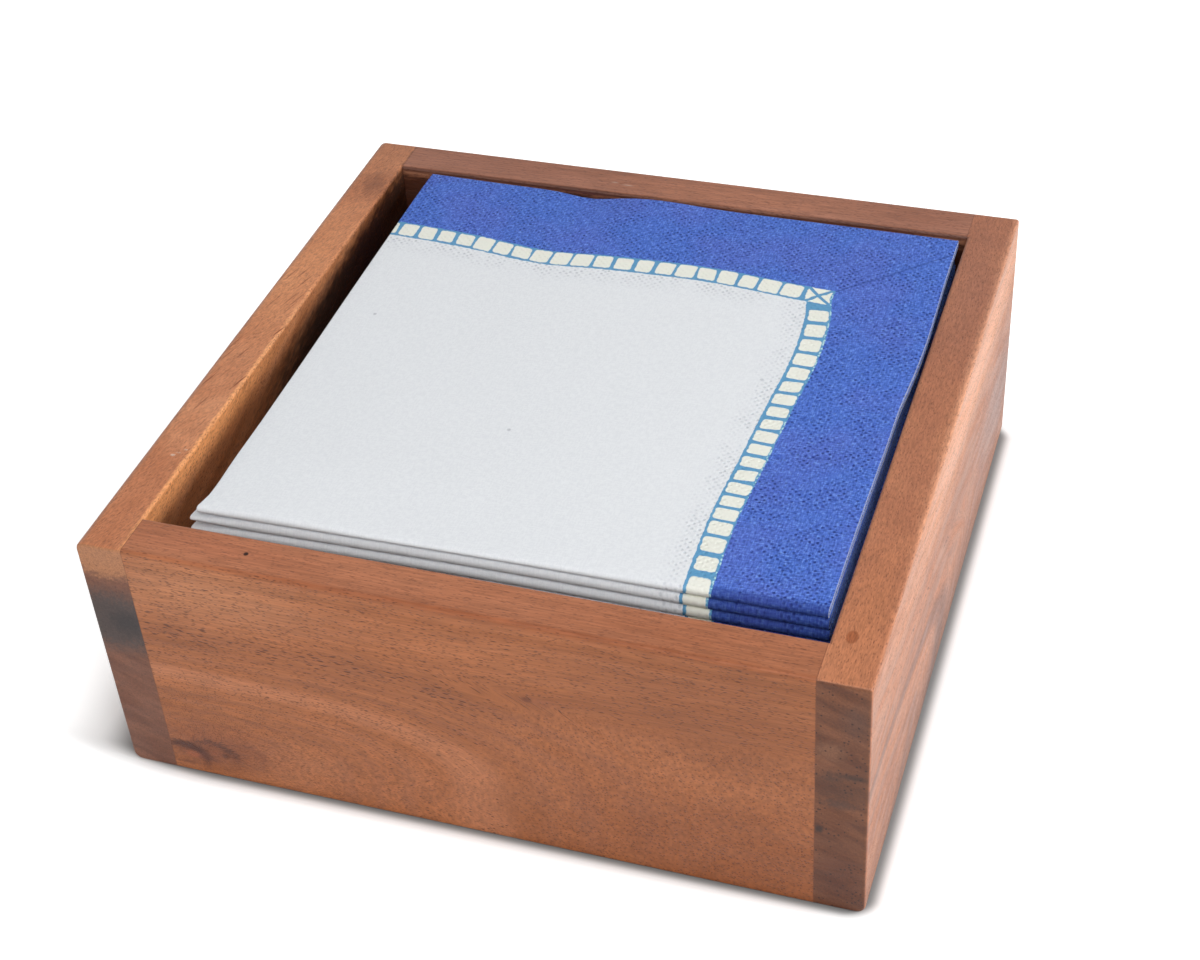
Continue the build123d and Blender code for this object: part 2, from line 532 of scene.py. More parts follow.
    # A thin dark line where the board's ends meet the side boards
    if "seam" in board:
        seam = look["seamLine"]
        reaches = (board["seam"] - inset for inset in seam["insets"])
        edge = finish.step(finish.size(along), *reaches, 0.0, seam["strength"])
        color = finish.blend(edge, color, bareTone(seam["tone"], look))
    hollow = finish.minus(finish.times(fibre, look["fibreRise"]), pores)
    gloss = finish.step(drift, *look["glossSpan"], *look["gloss"])
    finish.surface(color, gloss, finish.bump(hollow, look["poreDip"]), look["ior"])
    return finish.owner


frontBoard = {
    "grain": "x",
    "cut": (40.0, 12.0, 300.0),
    "tones": [(156, 95, 59), (171, 106, 68), (184, 117, 78)],
    "topPaintedLightTones": [(166, 106, 78), (174, 113, 84), (182, 120, 90)],
    "own": {"crowding": (0.0, 0.5)},
    "rings": {"heart": (-80.0, 9.0), "stretch": 2.75, "power": 3.0, "reach": 42.0,
              "edge": 45.0, "fade": 9.0, "fall": 0.0},
    "growth": [
        {"at": 11.0, "reach": 1.0, "tone": (150, 94, 68), "strength": 0.4, "broken": 0.6},
        {"at": 15.5, "reach": 1.2, "tone": (146, 92, 66), "strength": 0.45},
        {"at": 18.6, "reach": 0.9, "tone": (150, 96, 70), "strength": 0.35},
        {"at": 21.8, "reach": 1.1, "tone": (146, 93, 67), "strength": 0.4},
        {"at": 29.0, "reach": 4.0, "tone": (198, 132, 96), "strength": 0.5},
        {"at": 35.5, "reach": 1.3, "tone": (152, 97, 70), "strength": 0.35},
        {"at": 39.5, "reach": 1.6, "tone": (150, 96, 70), "strength": 0.35, "broken": 0.4},
        {"at": 44.5, "reach": 2.2, "tone": (138, 87, 64), "strength": 0.3, "broken": 0.6},
    ],
    "poreLine": {"at": 44.5, "reach": 3.8, "core": 0.3, "along": (26.0, 4.0)},
    "stipple": {"along": (-12.0, 26.0), "across": (58.0, 44.0)},
    "seam": 88.5,
    "stainsAndPaintedLight": [
        # Painted shade on the inner face
        blot((0, -86.75, 58), (220, 1.2, 20.4), (72, 50, 42), 0.85, core=0.8),
        # Broad light and dark zones
        blot((-70, -100, 68), (50, 14, 16), (204, 142, 104), 0.5),
        blot((-48, -100, 12), (26, 14, 16), (190, 124, 86), 0.5),
        blot((66, -100, 62), (66, 14, 30), (144, 88, 58), 0.65),
        blot((74, -100, 8), (78, 14, 40), (138, 79, 47), 0.72),
        blot((12, -100, 13), (24, 14, 13), (142, 84, 48), 0.4),
        blot((54, -93, 80), (44, 9, 6), (158, 97, 69), 0.6),
        blot((-66, -93, 80), (40, 9, 6), (188, 119, 90), 0.5),
        # Painted shade along the rounded front edge of the rim, partly a darker finish there
        blot((0, -99.3, 77.9), (200, 1.6, 1.6), (150, 84, 54), 0.55, core=0.2),
        # Dark mark in the middle
        blot((17, -100, 53.5), (2.0, 6, 1.3), (100, 58, 42), 0.85, core=0.3),
        blot((21, -100, 53.4), (9, 6, 2.6), (146, 90, 66), 0.5),
        # The knot: crescents, dark lines, lighter middles
        blot((-74, -100, 12), (30, 14, 13), (136, 82, 62), 0.55, core=0.1),
        blot((-80, -100, 8.5), (11, 6, 5.5), (112, 70, 56), 0.45),
        blot((-84.5, -100, 6.0), (8.6, 6, 6.4), (78, 49, 45), 0.9, core=0.7, ragged=0.8,
             bite=(-85.9, -100, 3.7)),
        blot((-76.0, -100, 8.6), (9.0, 6, 6.1), (90, 57, 50), 0.8, core=0.7, ragged=1.0,
             bite=(-77.4, -100, 6.8)),
        blot((-65.6, -100, 10.2), (6.8, 6, 5.6), (120, 74, 58), 0.45, core=0.7, ragged=1.0,
             bite=(-67.2, -100, 9.2)),
        blot((-84.5, -100, 3.4), (5.0, 6, 1.2), (100, 60, 50), 0.55, core=0.1),
        blot((-77.0, -100, 6.2), (5.5, 6, 1.2), (104, 64, 53), 0.55, core=0.1),
        blot((-79.0, -100, 7.3), (2.6, 6, 2.2), (112, 68, 56), 0.6, core=0.1),
        blot((-82.3, -100, 6.9), (3.4, 6, 1.9), (182, 106, 76), 0.65, core=0.2),
        blot((-75.4, -100, 8.8), (2.6, 6, 1.6), (172, 102, 74), 0.45, core=0.2),
        blot((-72.4, -100, 8.7), (1.7, 6, 1.4), (90, 56, 48), 0.7, core=0.2),
        # Dark dot on the rim
        blot((-57, -92.9, 78.5), (0.85, 0.85, 1.5), (48, 26, 18), 0.95, core=0.5, ragged=0.3),
    ],
}

backBoard = {
    "grain": "x",
    "cut": (210.0, 55.0, 20.0),
    "tones": [(150, 98, 74), (166, 112, 86), (180, 126, 100)],
    "topPaintedLightTones": [(146, 98, 78), (160, 110, 90), (172, 121, 101)],
    "seam": 88.5,
    "stainsAndPaintedLight": [
        # Painted shade on the inner face and on the rim's rounding
        blot((0, 86.75, 67.5), (220, 0.9, 10.6), (58, 35, 27), 0.8, core=0.7),
        blot((0, 86.9, 77.9), (220, 0.9, 1.3), (64, 39, 29), 0.75, core=0.4, ragged=0.1),
        # Broad zones of the rim
        blot((16, 93, 80), (60, 12, 6), (182, 124, 98), 0.8),
        blot((-58, 93, 80), (40, 12, 6), (144, 97, 80), 0.5),
        blot((76, 93, 80), (24, 12, 6), (152, 101, 82), 0.5),
        # Light scratches
        blot((-16, 91.8, 78.5), (2.6, 0.5, 1.0), (206, 184, 172), 0.55, ragged=1.6),
        blot((-20.5, 92.6, 78.5), (1.6, 0.4, 1.0), (206, 184, 172), 0.5, ragged=1.6),
    ],
}

leftBoard = {
    "grain": "y",
    "cut": (15.0, 140.0, 90.0),
    "tones": [(160, 102, 68), (180, 119, 82), (194, 134, 98)],
    "topPaintedLightTones": [(188, 123, 89), (200, 135, 99), (212, 148, 111)],
    "own": {"slant": -0.27, "wander": 3.0, "poreTone": (104, 58, 40),
            "endPores": {"size": (1.15, 30.0, 1.15), "reach": 0.26, "depth": 0.4}},
    "dashes": {"size": (27.0, 1.7, 1.0), "slant": -0.25, "reach": 0.17, "core": 0.4, "faintest": 0.4,
               "tone": (142, 84, 62), "backFade": (40.0, 15.0), "frontFade": (-62.0, -45.0)},
    "endTones": [(114, 74, 59), (124, 82, 65), (134, 90, 71)],
    "stainsAndPaintedLight": [
        # Zones of the rim
        blot((-95, 26, 80), (16, 50, 10), (222, 154, 110), 0.6),
        blot((-95, -86, 80), (16, 40, 10), (188, 121, 88), 0.6, core=0.1),
        blot((-93, 75, 78.5), (8, 14, 3), (140, 92, 70), 0.75, ragged=1.5),
        blot((-95, 96, 80), (16, 22, 10), (170, 117, 90), 0.6, core=0.1),
        # Painted highlight and wear along the inner edge, painted light on the front of the inner wall,
        # and painted shade behind it
        blot((-88.9, -40, 78.2), (1.0, 80, 1.0), (226, 164, 118), 0.7, core=0.3, ragged=1.0),
        blot((-88.5, -55, 77), (1.3, 71, 8.0), (232, 160, 106), 0.9, core=0.1),
        blot((-88.5, 110, 58), (1.5, 150, 24), (44, 27, 20), 0.93, core=0.72, ragged=0.3),
        # Light scratches
        blot((-90.6, -59.0, 78.5), (0.9, 0.4, 1.0), (228, 206, 190), 0.65, core=0.3, ragged=1.4),
        blot((-93.0, -61.8, 78.5), (0.9, 0.6, 1.0), (228, 206, 190), 0.65, core=0.3, ragged=1.4),
        blot((-92.0, -60.6, 78.5), (1.6, 0.25, 1.0), (222, 196, 178), 0.4, core=0.3, ragged=1.6),
    ],
    "endStains": [
        # Light top, dark patch below it
        blot((-95, -100, 80), (16, 6, 13.5), (182, 126, 90), 0.95, core=0.7),
        blot((-96, -100, 53), (24, 6, 15.0), (77, 68, 66), 0.95, core=0.35),
        blot((-92, -100, 53), (8, 6, 6), (56, 52, 54), 0.75, core=0.1, ragged=0.9),
    ],
}

rightBoard = {
    "grain": "y",
    "cut": (330.0, 20.0, 150.0),
    "tones": [(170, 112, 84), (182, 121, 91), (194, 132, 100)],
    "topPaintedLightTones": [(156, 104, 82), (172, 114, 88), (184, 124, 94)],
    "rings": {"heart": (-108.0, 16.0), "stretch": 3.9, "power": 1.8, "reach": 26.0,
              "edge": 31.0, "fade": 10.0, "fall": 0.2},
    "growth": [
        {"at": 9.0, "reach": 4.0, "tone": (158, 106, 86), "strength": 0.4},
        {"at": 15.5, "reach": 2.6, "tone": (140, 98, 84), "strength": 0.5},
        {"at": 26.5, "reach": 3.2, "tone": (124, 92, 84), "strength": 0.7},
    ],
    "endTones": [(98, 60, 44), (113, 71, 50), (127, 81, 57)],
    "own": {"crowding": (0.0, 0.3)},
    "stipple": {"along": (0.0, 50.0), "across": (62.0, 46.0)},
    "stainsAndPaintedLight": [
        # Zones of the outer face: painted light along the upper part, darker greyer zones, and painted
        # shade towards the bottom
        blot((101.5, 40, 70), (3, 180, 21), (236, 174, 140), 0.85),
        blot((101.5, 12, 42), (3, 60, 11), (152, 114, 100), 0.5),
        blot((101.5, 84, 26), (3, 62, 28), (157, 131, 126), 0.75, core=0.1),
        blot((101.5, -10, 4), (3, 140, 20), (124, 99, 91), 0.65),
        # Zones of the rim
        blot((95, -88, 80), (14, 64, 10), (200, 131, 93), 0.65, core=0.1),
        blot((95, 64, 80), (14, 60, 10), (160, 111, 93), 0.55, core=0.1),
        # The mark like a plug
        blot((93.2, -84.1, 78.5), (1.6, 2.5, 2.5), (150, 88, 60), 0.75, core=0.75, ragged=0.2),
        blot((93.0, -83.9, 78.5), (1.1, 1.9, 2.5), (168, 101, 69), 0.6, core=0.5),
    ],
    "endStains": [
        # Dark marks
        blot((97, -100, 48.5), (9, 6, 1.7), (60, 48, 45), 0.85, ragged=0.9),
        blot((92.4, -100, 47.0), (4, 6, 1.4), (72, 57, 52), 0.7),
        blot((94.4, -100, 38.5), (7, 6, 2.4), (78, 60, 54), 0.7, ragged=1.2),
        blot((89.6, -100, 28.5), (1.6, 6, 1.9), (58, 46, 44), 0.9, core=0.3),
        # Zones
        blot((98, -100, 67), (6, 6, 8), (96, 70, 60), 0.6),
        blot((92, -100, 56), (6, 6, 5), (142, 100, 76), 0.6, core=0.1),
        blot((95, -100, 12), (12, 6, 16), (86, 50, 35), 0.7, core=0.1),
        blot((95, -100, 44), (12, 6, 9), (84, 55, 43), 0.6, core=0.1),
    ],
}

panelWood = {
    "grain": "flat",
    "cut": (60.0, 90.0, 10.0),
    "tones": [(150, 106, 76), (172, 124, 90), (190, 142, 106)],
}

dowelWood = {
    "grain": "x",
    "cut": (500.0, 70.0, 40.0),
    "tones": [(186, 148, 106), (202, 166, 124), (214, 180, 140)],
    "own": {"poreTone": (150, 112, 76)},
}

boards = {
    "front_board": frontBoard,
    "back_board": backBoard,
    "left_side_board": leftBoard,
    "right_side_board": rightBoard,
    "bottom_panel": panelWood,
}


def dressWood(node, finish):
    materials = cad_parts[node].data.materials
    materials.clear()
    materials.append(finish)


for node, board in boards.items():
    dressWood(node, woodFinish(node + "_wood", board))
dowelFinish = woodFinish("dowel_wood", dowelWood)
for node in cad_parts:
    if node.endswith("_dowel"):
        dressWood(node, dowelFinish)
print("boards finished")


# Napkins: a square tissue with a ladder border and a blue band, folded in half twice
printLook = {
    "sheet": 330.0,
    "stripInner": 127.0,        # from the middle of the sheet, mm
    "stripOuter": 134.2,
    "stripEdge": 0.1,           # how soft the ink ends
    "cellAcross": 2.95,         # half a cell
    "cellOut": 0.15,            # the cells sit nearer the ladder's outer edge
    "cellPlay": 0.45,
    "cellTilt": 0.2,
    "cellPower": 7.0,           # how square a cell is
    "cellEdge": (1.35, 0.7),
    "cellRag": 0.6,
    "boxHalf": 3.5,             # the corner cell, and how far it reaches in
    "boxIn": 0.5,
    "boxEdge": 0.15,
    "boxRoom": 1.0,
    "crossLine": 0.5,
    "crossEdge": (0.15, -0.1),
    "ragged": 0.75,
    "raggedSize": (1.5, 1.5, 1.5),
    # The ladder is drawn by hand: waves of it are at, reach and size, and so is its uneven pace
    "side": {
        "shift": 2.9,
        "slope": 0.0,
        "waves": [(8, 22, -0.9), (30, 20, -1.2), (96, 24, 1.8), (127, 7, -1.3)],
        "start": 124.0,
        "pitch": 6.2,
        "half": 2.4,
        "pace": [(0, 4.5, 3.1), (22, 12, -2.2), (88, 38, 6.0)],
    },
    "end": {
        "shift": 2.25,
        "slope": -0.0448,
        "waves": [(47, 17, -2.1), (99, 22, 1.9)],
        "start": 126.7,
        "pitch": 6.23,
        "half": 2.6,
        "pace": [(127, 9, -0.8)],
    },
    "paper": paint(240, 244, 249),
    "paperShade": paint(233, 237, 243),
    "paperDot": paint(192, 197, 207),
    "speck": paint(160, 164, 176),
    "cream": paint(246, 247, 232),
    "ladder": paint(96, 154, 196),
    "fleck": paint(176, 216, 226),
    "band": paint(76, 112, 205),
    "bandPit": paint(24, 42, 116),
    "bandLight": paint(128, 168, 246),
    "bandViolet": paint(92, 108, 200),
    "bandBack": paint(116, 136, 196),
    # The cut edges below the top napkin: blue ink with painted shade
    "edgeInkAndShade": paint(54, 54, 84),
    "mitre": paint(52, 74, 152),
    # Spans of the noise or the distance over which a tone comes in, with its strength from and to
    "paperWeave": (0.6, 0.4),
    "dotSpan": (0.3, 0.55, 0.3, 1.0),
    "dotReach": (10.0, 1.0),      # dots in the paper, this near the ladder
    "dotStrength": 0.8,
    "speckSize": (78.0, 78.0, 78.0),
    "speckSpan": (0.009, 0.004, 0.0, 0.5),
    "fleckSize": (0.75, 0.75, 0.75),
    "fleckFrom": 0.72,
    "fleckReach": (0.6, 0.3),
    "cloudSize": (26.0, 26.0, 26.0),
    "patchSize": (9.0, 9.0, 9.0),
    "violetSpan": (0.4, 0.65, 0.0, 0.5),
    "lightSpan": (0.5, 0.64, 0.0, 0.6),
    "darkSpan": (0.5, 0.38, 0.0, 0.5),
    "mitreSpan": (0.7, 0.2, 0.0, 0.6),
    "pittedSpan": (0.35, 0.6, 0.25, 1.0),
    "pittedStrength": 0.9,
    "foldSpan": (3.4, 1.4, 0.0, 0.6),      # the band's blue is darker near the front fold
    "pitSize": 1.4,
    "pitTurn": 45.0,
    "pitPlay": 0.3,
    "pitSpan": (0.42, 0.12),
    "pitShallow": 0.3,
    "threads": ((0.45, 1.9, 1.0), (1.9, 0.45, 1.0)),
    "threadRise": 0.6,
    "dip": 0.18,
    "roughness": 0.8,
    "ior": 1.35,
    "soft": 0.5,
    "linenSize": (0.6, 0.6, 0.6),          # of the leaf's back and edges
    "linenSpan": (0.3, 0.7, 0.92, 1.0),
    "linenDip": 0.05,
    "linenRoughness": 0.85,
    "showThrough": 2.0,
}


def waveSum(finish, along, waves):
    total = 0.0
    for at, reach, size in waves:
        away = finish.calc("DIVIDE", finish.minus(along, at), reach)
        hump = finish.calc("EXPONENT", finish.times(finish.times(away, away), -1.0))
        total = finish.calc("MULTIPLY_ADD", hump, size, total)
    return total


def bowed(finish, across, along, strip):      # how far out a spot lies, with the strip's bow taken off
    bow = finish.calc("MULTIPLY_ADD", along, strip["slope"], strip["shift"])
    bow = finish.plus(bow, waveSum(finish, along, strip["waves"]))
    return finish.minus(across, bow)


def paced(finish, along, strip):      # cells of a strip, counted from the corner
    gone = finish.plus(along, waveSum(finish, along, strip["pace"]))
    return finish.calc("DIVIDE", finish.minus(strip["start"], gone), strip["pitch"])


def embossing(finish, flat, look):      # pits in slanting rows, and woven threads
    turned = finish.put("ShaderNodeVectorRotate", rotation_type="Z_AXIS")
    finish.feed(turned.inputs["Vector"], flat)
    turned.inputs["Angle"].default_value = math.radians(look["pitTurn"])
    near, tag = finish.cells(turned.outputs[0], (look["pitSize"],) * 3, look["pitPlay"], flat=True)
    deep = finish.ease(finish.split(tag)[0], look["pitShallow"], 1.0)
    pit = finish.times(finish.step(near, *look["pitSpan"]), deep)
    warp, weft = (finish.grain(flat, size, rough=0.6) for size in look["threads"])
    weave = finish.times(finish.plus(warp, weft), 0.5)
    return pit, weave


def sheetPlace(finish, look):      # mm from the middle of the flat sheet, and the same in any quarter
    uv = finish.put("ShaderNodeUVMap", uv_map="flatSheet").outputs[0]
    side = look["sheet"]
    flat = finish.shift("MULTIPLY", finish.shift("SUBTRACT", uv, (0.5, 0.5, 0.0)), (side, side, 0.0))
    return flat, *(finish.size(part) for part in finish.split(flat)[:2])


def napkinPrint(look):
    finish = Finish(bpy.data.materials.new("napkin_print"))
    flat, u, v = sheetPlace(finish, look)
    rag = finish.minus(finish.grain(flat, look["raggedSize"]), 0.5)
    rag = finish.times(rag, look["ragged"])
    sideways = finish.plus(bowed(finish, u, v, look["side"]), rag)
    endways = finish.minus(bowed(finish, v, u, look["end"]), rag)
    out = finish.most(sideways, endways)
    run = finish.calc("MINIMUM", sideways, endways)

    # Which of the ladder's cells this is, and where in it
    inner, outer = look["stripInner"], look["stripOuter"]
    middle = (inner + outer) / 2
    onSide = finish.calc("GREATER_THAN", sideways, endways)
    counts = (paced(finish, along, look[strip]) for along, strip in ((u, "end"), (v, "side")))
    count = finish.most(finish.ease(onSide, *counts), 0.0)
    pitch, halfCell = (
        finish.ease(onSide, look["end"][length], look["side"][length])
        for length in ("pitch", "half")
    )
    part = finish.minus(finish.calc("FRACT", count), 0.5)
    tag = finish.put("ShaderNodeTexWhiteNoise", noise_dimensions="2D")
    finish.feed(tag.inputs["Vector"], finish.join(finish.calc("FLOOR", count), onSide, 0.0))
    playA, playB, playC = (
        finish.times(finish.minus(value, 0.5), look["cellPlay"])
        for value in finish.split(tag.outputs["Color"])
    )
    across = finish.minus(out, middle + look["cellOut"])
    tilt = finish.times(playC, across)
    tilt = finish.times(tilt, look["cellTilt"] / look["cellPlay"])
    alongCell = finish.size(finish.calc("MULTIPLY_ADD", part, pitch, tilt))
    alongCell = finish.plus(alongCell, finish.times(rag, look["cellRag"]))
    acrossCell = finish.size(across)
    alongShare = finish.calc("DIVIDE", alongCell, finish.plus(playA, halfCell))
    acrossShare = finish.calc("DIVIDE", acrossCell, finish.plus(playB, look["cellAcross"]))
    powers = (finish.calc("POWER", share, look["cellPower"]) for share in (alongShare, acrossShare))
    cell = finish.step(finish.plus(*powers), *look["cellEdge"])

    # The corner cell has a cross in it
    acrossX = finish.minus(sideways, middle - look["boxIn"])
    acrossY = finish.minus(endways, middle)
    slope = finish.size(finish.minus(acrossX, acrossY))
    counter = finish.size(finish.plus(acrossX, acrossY))
    nearCross = finish.times(finish.calc("MINIMUM", slope, counter), math.sqrt(0.5))
    cross = finish.step(nearCross, *(look["crossLine"] + edge for edge in look["crossEdge"]))
    atCorner = finish.calc("GREATER_THAN", run, inner - look["boxRoom"])
    fromMiddle = finish.most(*(finish.size(way) for way in (acrossX, acrossY)))
    half, soft = look["boxHalf"], look["boxEdge"]
    boxed = finish.step(fromMiddle, half + soft, half - soft)
    crossed = finish.times(boxed, finish.minus(1.0, cross))
    cell = finish.ease(atCorner, cell, crossed)
    strip = finish.step(out, inner - look["stripEdge"], inner + look["stripEdge"])
    band = finish.step(out, outer - look["stripEdge"], outer + look["stripEdge"])

    # Colours, with the embossing strong in the band and near the ladder
    pit, weave = embossing(finish, flat, look)
    cloud = finish.grain(flat, look["cloudSize"], detail=3.0)
    patch = finish.grain(flat, look["patchSize"])
    near = finish.step(out, *(inner - reach for reach in look["dotReach"]))
    dotted = finish.times(finish.times(pit, near), finish.step(patch, *look["dotSpan"]))
    dotted = finish.times(dotted, look["dotStrength"])
    paper = finish.blend(finish.step(weave, *look["paperWeave"]), look["paper"], look["paperShade"])
    paper = finish.blend(dotted, paper, look["paperDot"])
    spot = finish.cells(flat, look["speckSize"], flat=True)[0]
    paper = finish.blend(finish.step(spot, *look["speckSpan"]), paper, look["speck"])
    color = finish.blend(strip, paper, finish.blend(cell, look["ladder"], look["cream"]))
    fleck = finish.cells(flat, look["fleckSize"], flat=True)[1]
    flecked = finish.calc("GREATER_THAN", finish.split(fleck)[0], look["fleckFrom"])
    border = finish.step(out, *(outer - reach for reach in look["fleckReach"]))
    border = finish.times(border, flecked)
    color = finish.blend(finish.times(border, onSide), color, look["fleck"])
    fromMitre = finish.minus(out, run)
    pitted = finish.times(pit, finish.step(patch, *look["pittedSpan"]))
    bandTone = look["band"]
    for share, tone in (
        (finish.step(cloud, *look["violetSpan"]), "bandViolet"),
        (finish.step(weave, *look["lightSpan"]), "bandLight"),
        (finish.step(weave, *look["darkSpan"]), "bandPit"),
        (finish.step(fromMitre, *look["mitreSpan"]), "mitre"),
        (finish.times(pitted, look["pittedStrength"]), "bandPit"),
        (finish.step(v, *look["foldSpan"]), "bandPit"),
    ):
        bandTone = finish.blend(share, bandTone, look[tone])
    color = finish.blend(band, color, bandTone)
    pressed = finish.most(dotted, finish.times(pitted, band))
    height = finish.minus(finish.times(weave, look["threadRise"]), pressed)
    normal = finish.bump(height, look["dip"])
    finish.surface(color, look["roughness"], normal, look["ior"], look["soft"])
    return finish.owner


def plainTissue(name, middle, border, look):      # the band's ink shows through on the back of a leaf
    finish = Finish(bpy.data.materials.new(name))
    flat, u, v = sheetPlace(finish, look)
    outer = look["stripOuter"]
    band = finish.step(finish.most(u, v), outer, outer + look["showThrough"])
    linen = finish.grain(flat, look["linenSize"])
    shade = finish.step(linen, *look["linenSpan"])
    color = finish.dim(finish.blend(band, middle, border), shade)
    normal = finish.bump(linen, look["linenDip"])
    finish.surface(color, look["linenRoughness"], normal, look["ior"], look["soft"])
    return finish.owner


napkinLook = {
    "side": 165.0,
    "leaf": 0.25,
    "firstGap": 0.55,          # room inside the left fold, mm
    "secondGap": 0.9,          # room inside the front fold
    "count": 20,
    "closeUp": 4,              # the top ones are finer meshes
    "fineSteps": (40, 6),
    "plainSteps": (12, 4),
    "bodies": {1: "top_napkin", 2: "second_napkin", 3: "third_napkin", 4: "fourth_napkin"},
    "pack": "napkin_pack",
    "shiftPlay": 0.4,
    "turnPlay": 0.25,
    "printPlay": 0.5,          # how far the print wanders on the napkins below the top one
    "tuck": 1.2,               # how far those lie in at their back right corner
    "ripple": 0.12,
    "rippleSize": 34.0,
    "rippleStride": 40.0,      # keeps one napkin's ripple apart from the next one's
    "tipFlare": 1.5,           # the pinched tip where both folds meet
    "tipPinch": 0.7,
    "topPinch": 0.35,          # share of it on the top napkin
    "tipReach": (9.0, 4.0),
    "backDroop": 0.65,         # how far the top napkin sinks along its back edge
    "droopPower": 16,
    "pushPower": 5,            # how close to the edge the pushes stay
    "flatNose": 0.25,          # how far the front fold is pressed flat
    "frontRise": 1.3,          # the folds pile up higher than the open edges behind
    "frontReach": 22.0,
    "pileMiddle": (75.0, 58.0),      # where along the folds, and how far from there
    "pileEnds": 0.3,
    "frontLift": 0.35,         # how far the top napkin comes up from the pile at its front left corner
    "liftReach": 55.0,
    "puff": 0.13,              # the front folds swell until they all but touch
    "puffReach": 5.0,
}

# Corner shifts of the napkins seen best, mm: front left, front right, back left, back right
cornerShifts = {
    1: ((2.5, -1.15), (-0.6, 1.45), (0.3, -0.6), (-0.3, -1.5)),
    2: ((0.0, -1.2), (-0.4, 0.9), (0.2, 0.0), (-1.0, -0.4)),
    3: ((-0.3, -1.4), (-0.2, 0.7), (0.6, 0.2), (-1.2, -0.2)),
    4: ((-0.2, -1.5), (0.2, 0.3), (0.0, 0.0), (-0.9, 0.0)),
}

# Waves of the top napkin: place, reach and height
topWaves = [
    {"at": (-66, -60), "reach": (42, 12), "rise": 0.55},
    {"at": (-62, -78), "reach": (26, 6), "rise": 0.4},
    {"at": (-20, -70), "reach": (30, 8), "rise": -0.25},
    {"at": (-24, 86), "reach": (9, 13), "rise": -0.7},
    {"at": (-4, 84), "reach": (13, 16), "rise": 0.6},
    {"at": (86, 30), "reach": (14, 26), "rise": 0.4},
    {"at": (84, 2), "reach": (10, 9), "rise": -0.4},
]
rightPushes = [(32, 26, 1.0), (2, 10, -0.4), (-45, 30, -0.3)]             # y, reach, push
backPushes = [(-48, 26, -0.8), (-26, 8, -1.3), (-2, 14, 0.3), (60, 30, 0.2)]      # x, reach, push


def hairpin(distance, radius):      # a strip laid double: run from the fold, height and lean
    quarter = radius * math.pi / 2
    lean = max(-1.0, min(1.0, distance / quarter)) * math.pi / 2
    run = radius * (1 - math.cos(lean)) + max(0.0, abs(distance) - quarter)
    return run, radius * math.sin(lean), lean


def bell(distance, reach):
    return math.exp(-((distance / reach) ** 2))


def gridSpot(share, steps, radius, half):      # grid share to distance from the fold
    runSteps, foldSteps = steps
    quarter = radius * math.pi / 2
    index = share * 2 * (runSteps + foldSteps) - (runSteps + foldSteps)
    if abs(index) <= foldSteps:
        return quarter * index / foldSteps
    far = quarter + (half - quarter) * (abs(index) - foldSteps) / runSteps
    return math.copysign(far, index)


def settle(number, look, sheet, radii, box, corners):
    low, high = box
    run, height = hairpin(sheet[0], radii[0])[:2]
    depth, rise, turn = hairpin(sheet[1], radii[1])
    halfLeaf = look["leaf"] / 2
    x = low.x + halfLeaf + run
    y = low.y + halfLeaf + radii[0] + depth - height * math.cos(turn)
    z = (low.z + high.z) / 2 + rise + height * math.sin(turn)
    thickness = high.z - low.z
    level = (z - low.z) / thickness
    right = run / look["side"]
    back = depth / look["side"]
    weights = ((1 - right) * (1 - back), right * (1 - back), (1 - right) * back, right * back)
    moveX = sum(weight * corner[0] for weight, corner in zip(weights, corners))
    moveY = sum(weight * corner[1] for weight, corner in zip(weights, corners))
    ripple = Vector((x, y, look["rippleStride"] * number)) / look["rippleSize"]
    swell = noise.noise(ripple) * look["ripple"]
    if number == 1:
        for wave in topWaves:
            spot = bell(x - wave["at"][0], wave["reach"][0]) * bell(y - wave["at"][1], wave["reach"][1])
            swell += wave["rise"] * spot
        pushRight = sum(push * bell(y - at, reach) for at, reach, push in rightPushes)
        pushBack = sum(push * bell(x - at, reach) for at, reach, push in backPushes)
        moveX += right ** look["pushPower"] * pushRight
        moveY += back ** look["pushPower"] * pushBack
        swell -= look["backDroop"] * back ** look["droopPower"]
    tip = bell(run, look["tipReach"][0]) * bell(depth, look["tipReach"][1])
    moveX -= look["tipFlare"] * tip
    pressed = look["flatNose"] * (max(0.0, radii[1] - depth) - radii[1] * (1 - back))
    squeeze = look["tipPinch"] * tip * (0.5 - level) * thickness
    puff = look["puff"] * (2 * level - 1) * bell(depth, look["puffReach"])
    piled = look["frontRise"] * (look["count"] - number) / (look["count"] - 2)
    if number == 1:
        piled = (look["frontRise"] + look["frontLift"] * bell(run, look["liftReach"])) * (1 - level)
        squeeze *= look["topPinch"]
        puff = min(puff, 0.0)
    middle, reach = look["pileMiddle"]
    piled *= look["pileEnds"] + (1 - look["pileEnds"]) * bell(run - middle, reach)
    piled *= bell(depth, look["frontReach"])
    return Vector((x + moveX, y + moveY + pressed, z + swell * level + squeeze + piled + puff))


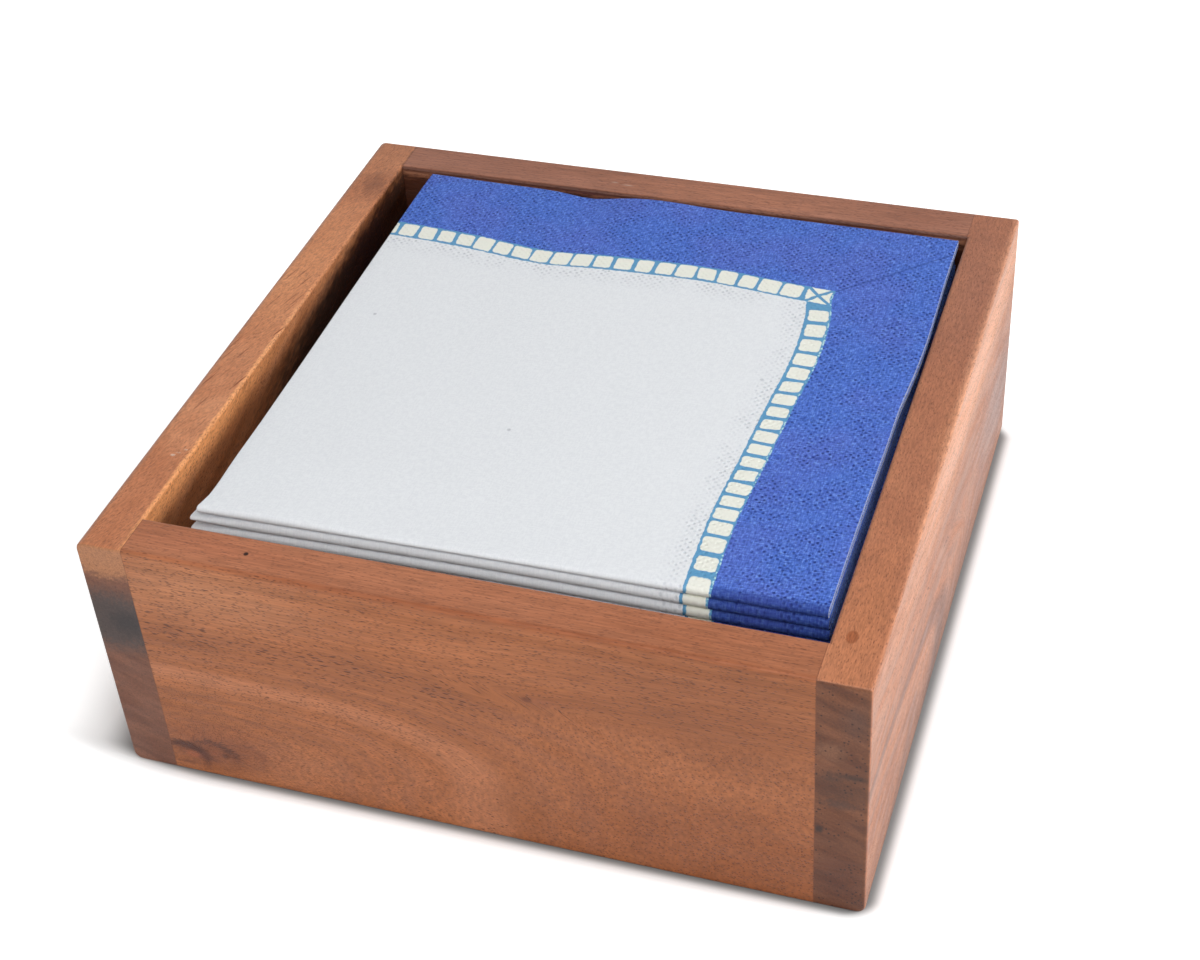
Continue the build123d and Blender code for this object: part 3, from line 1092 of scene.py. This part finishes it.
def foldNapkin(number, look, finishes):
    node = f"napkin_{number:02d}"
    low, high = (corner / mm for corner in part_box(node))
    rng = random.Random(number)
    steps = look["fineSteps"] if number <= look["closeUp"] else look["plainSteps"]
    firstRadius = (look["leaf"] + look["firstGap"]) / 2
    secondRadius = (2 * look["leaf"] + look["firstGap"] + look["secondGap"]) / 2
    radii = (firstRadius, secondRadius)
    corners = cornerShifts.get(number)
    if corners is None:
        slide = [rng.uniform(-look["shiftPlay"], look["shiftPlay"]) for axis in "xy"]
        askew = rng.uniform(-look["turnPlay"], look["turnPlay"])
        corners = [(slide[0] - askew * (row - 0.5), slide[1] + askew * (column - 0.5))
                   for row in (0, 1) for column in (0, 1)]
        corners[3] = (corners[3][0] - look["tuck"], corners[3][1])      # back right
    printShift = Vector((0.0, 0.0))
    if number > 1:
        printShift = Vector([rng.uniform(-look["printPlay"], look["printPlay"]) for axis in "xy"])

    bm = bmesh.new()
    segments = 2 * sum(steps)
    bmesh.ops.create_grid(bm, x_segments=segments, y_segments=segments, size=0.5)
    uvLayer = bm.loops.layers.uv.new("flatSheet")
    for vert in bm.verts:
        shares = (vert.co.x + 0.5, vert.co.y + 0.5)
        sheet = [gridSpot(share, steps, radius, look["side"]) for share, radius in zip(shares, radii)]
        printed = Vector(sheet) + printShift
        for loop in vert.link_loops:
            loop[uvLayer].uv = printed / (2 * look["side"]) + Vector((0.5, 0.5))
        vert.co = settle(number, look, sheet, radii, (low, high), corners) * mm
    for edge in bm.edges:
        edge.smooth = not edge.is_boundary
    for face in bm.faces:
        face.smooth = True
    napkin = addMesh(f"folded_{node}", bm)
    for finish in finishes:
        napkin.data.materials.append(finish)
    ply = napkin.modifiers.new("leaf", "SOLIDIFY")
    ply.thickness = look["leaf"] * mm
    ply.offset = 0.0
    ply.material_offset = 1
    ply.material_offset_rim = 2
    return napkin


printedSide = napkinPrint(printLook)
innerSide = plainTissue("napkin_inside", printLook["paper"], printLook["bandBack"], printLook)
topEdge = plainTissue("napkin_top_edge", printLook["paper"], printLook["paper"], printLook)
# Edges of the napkins under the top one: ink darkened with painted shade
inkedShadedEdge = plainTissue("napkin_edge", printLook["paper"], printLook["edgeInkAndShade"], printLook)
for number in range(napkinLook["count"], 0, -1):
    leafEdge = topEdge if number == 1 else inkedShadedEdge
    napkin = foldNapkin(number, napkinLook, [printedSide, innerSide, leafEdge])
    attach(napkin, napkinLook["bodies"].get(number, napkinLook["pack"]))
    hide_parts(f"napkin_{number:02d}")
print("napkins folded:", napkinLook["count"])
